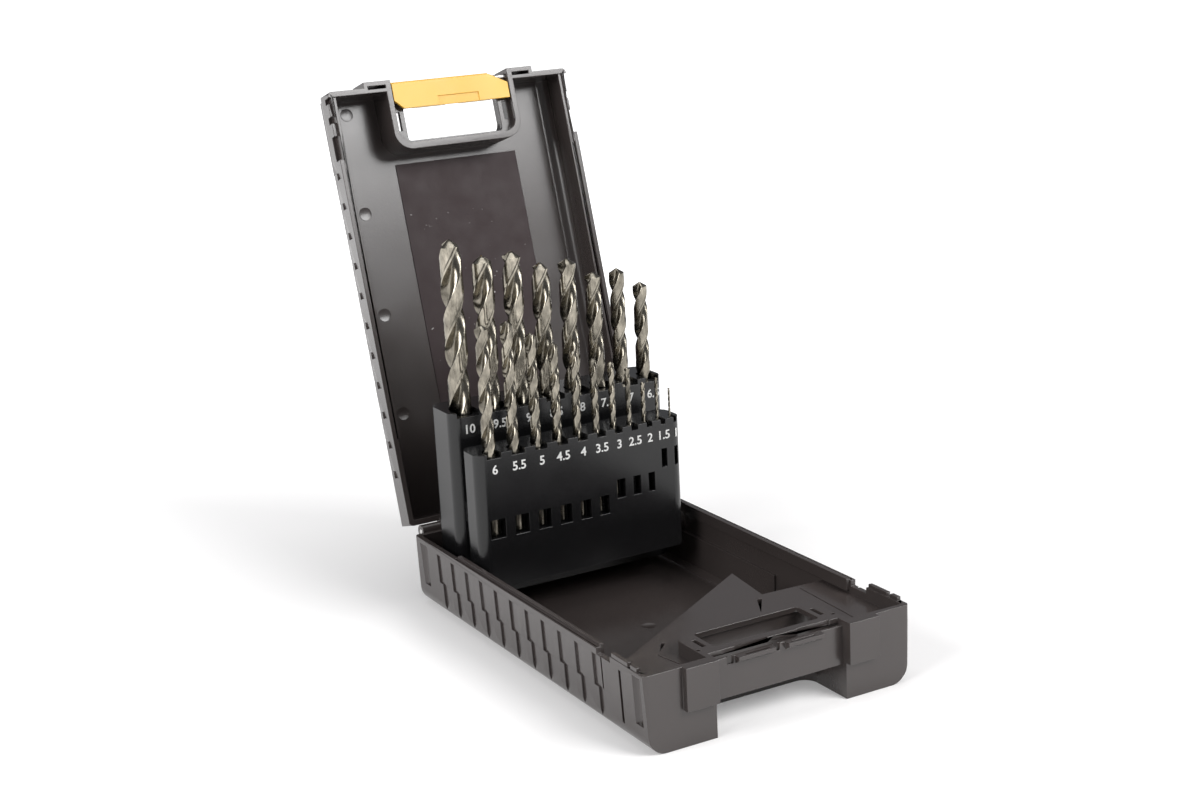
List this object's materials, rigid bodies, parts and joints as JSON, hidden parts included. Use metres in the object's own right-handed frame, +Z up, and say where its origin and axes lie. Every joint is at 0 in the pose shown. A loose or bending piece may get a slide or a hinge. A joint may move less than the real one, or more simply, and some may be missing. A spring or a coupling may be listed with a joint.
{
  "type": "drill bit case",
  "caption": "Hinged plastic drill bit case with a carry handle and latch, open, with two folding racks of graded twist drills standing in the tray.",
  "frame": {"origin": "middle of the tray's flat underside", "axes": "+Z up, +Y from the carry handle to the hinge, +X to the right seen from the handle"},
  "size_m": [0.123, 0.2823, 0.2295],
  "materials": {
    "tray_plastic": "warm dark grey moulded plastic, satin",
    "lid_plastic": "warm dark grey moulded plastic, satin",
    "panel": "dark brown sheet",
    "rack_plastic": "black moulded plastic, satin",
    "latch_plastic": "yellow moulded plastic, satin",
    "pin_steel": "drawn steel wire",
    "drill_steel": "bright ground steel"
  },
  "bodies": {
    "base": {"base_shell": "tray_plastic", "hinge_pin": "pin_steel", "rack_rod": "pin_steel"},
    "lid": {"lid_shell": "lid_plastic", "lid_panel": "panel", "latch_pin": "pin_steel", "lid_stud": "pin_steel"},
    "latch": {"latch": "latch_plastic"},
    "racks": {"front_rack": "rack_plastic", "rear_rack": "rack_plastic", "rack_clips": "rack_plastic", "rack_stud": "pin_steel"},
    "lift_link": {"lift_link": "rack_plastic"},
    "drill_10_0": {"drill_10_0": "drill_steel"},
    "drill_9_5": {"drill_9_5": "drill_steel"},
    "drill_9_0": {"drill_9_0": "drill_steel"},
    "drill_8_5": {"drill_8_5": "drill_steel"},
    "drill_8_0": {"drill_8_0": "drill_steel"},
    "drill_7_5": {"drill_7_5": "drill_steel"},
    "drill_7_0": {"drill_7_0": "drill_steel"},
    "drill_6_5": {"drill_6_5": "drill_steel"},
    "drill_6_0": {"drill_6_0": "drill_steel"},
    "drill_5_5": {"drill_5_5": "drill_steel"},
    "drill_5_0": {"drill_5_0": "drill_steel"},
    "drill_4_5": {"drill_4_5": "drill_steel"},
    "drill_4_0": {"drill_4_0": "drill_steel"},
    "drill_3_5": {"drill_3_5": "drill_steel"},
    "drill_3_0": {"drill_3_0": "drill_steel"},
    "drill_2_5": {"drill_2_5": "drill_steel"},
    "drill_2_0": {"drill_2_0": "drill_steel"},
    "drill_1_5": {"drill_1_5": "drill_steel"},
    "drill_1_0": {"drill_1_0": "drill_steel"}
  },
  "joints": [
    {"name": "lid_hinge", "type": "hinge", "parent": "base", "child": "lid", "pos_m": [0, 0.10325, 0.0321], "axis": [-1, 0, 0], "range_deg": [-106.5, 0]},
    {"name": "rack_tilt", "type": "hinge", "parent": "base", "child": "racks", "pos_m": [0, 0.0664, 0.0239], "axis": [-1, 0, 0], "range_deg": [-90, 0]},
    {"name": "link_pivot", "type": "hinge", "parent": "lid", "child": "lift_link", "pos_m": [0, 0.11586, 0.04297], "axis": [-1, 0, 0], "range_deg": [0, 107]},
    {"name": "latch_swing", "type": "hinge", "parent": "lid", "child": "latch", "pos_m": [0, 0.16457, 0.22539], "axis": [1, 0, 0], "range_deg": [-135, 0]},
    {"name": "drill_10_0_lift", "type": "slide", "parent": "racks", "child": "drill_10_0", "axis": [0, 0, 1], "range_m": [0, 0.06]},
    {"name": "drill_9_5_lift", "type": "slide", "parent": "racks", "child": "drill_9_5", "axis": [0, 0, 1], "range_m": [0, 0.061]},
    {"name": "drill_9_0_lift", "type": "slide", "parent": "racks", "child": "drill_9_0", "axis": [0, 0, 1], "range_m": [0, 0.061]},
    {"name": "drill_8_5_lift", "type": "slide", "parent": "racks", "child": "drill_8_5", "axis": [0, 0, 1], "range_m": [0, 0.06]},
    {"name": "drill_8_0_lift", "type": "slide", "parent": "racks", "child": "drill_8_0", "axis": [0, 0, 1], "range_m": [0, 0.06]},
    {"name": "drill_7_5_lift", "type": "slide", "parent": "racks", "child": "drill_7_5", "axis": [0, 0, 1], "range_m": [0, 0.06]},
    {"name": "drill_7_0_lift", "type": "slide", "parent": "racks", "child": "drill_7_0", "axis": [0, 0, 1], "range_m": [0, 0.06]},
    {"name": "drill_6_5_lift", "type": "slide", "parent": "racks", "child": "drill_6_5", "axis": [0, 0, 1], "range_m": [0, 0.06]},
    {"name": "drill_6_0_lift", "type": "slide", "parent": "racks", "child": "drill_6_0", "axis": [0, 0, 1], "range_m": [0, 0.0395]},
    {"name": "drill_5_5_lift", "type": "slide", "parent": "racks", "child": "drill_5_5", "axis": [0, 0, 1], "range_m": [0, 0.0395]},
    {"name": "drill_5_0_lift", "type": "slide", "parent": "racks", "child": "drill_5_0", "axis": [0, 0, 1], "range_m": [0, 0.0395]},
    {"name": "drill_4_5_lift", "type": "slide", "parent": "racks", "child": "drill_4_5", "axis": [0, 0, 1], "range_m": [0, 0.0395]},
    {"name": "drill_4_0_lift", "type": "slide", "parent": "racks", "child": "drill_4_0", "axis": [0, 0, 1], "range_m": [0, 0.0395]},
    {"name": "drill_3_5_lift", "type": "slide", "parent": "racks", "child": "drill_3_5", "axis": [0, 0, 1], "range_m": [0, 0.0395]},
    {"name": "drill_3_0_lift", "type": "slide", "parent": "racks", "child": "drill_3_0", "axis": [0, 0, 1], "range_m": [0, 0.0335]},
    {"name": "drill_2_5_lift", "type": "slide", "parent": "racks", "child": "drill_2_5", "axis": [0, 0, 1], "range_m": [0, 0.0335]},
    {"name": "drill_2_0_lift", "type": "slide", "parent": "racks", "child": "drill_2_0", "axis": [0, 0, 1], "range_m": [0, 0.0335]},
    {"name": "drill_1_5_lift", "type": "slide", "parent": "racks", "child": "drill_1_5", "axis": [0, 0, 1], "range_m": [0, 0.0235]},
    {"name": "drill_1_0_lift", "type": "slide", "parent": "racks", "child": "drill_1_0", "axis": [0, 0, 1], "range_m": [0, 0.0235]}
  ],
  "couplings": [
    {"joint": "rack_tilt", "follows": "lid_hinge", "ratio": 0.84507},
    {"joint": "link_pivot", "follows": "lid_hinge", "ratio": -1.004}
  ]
}
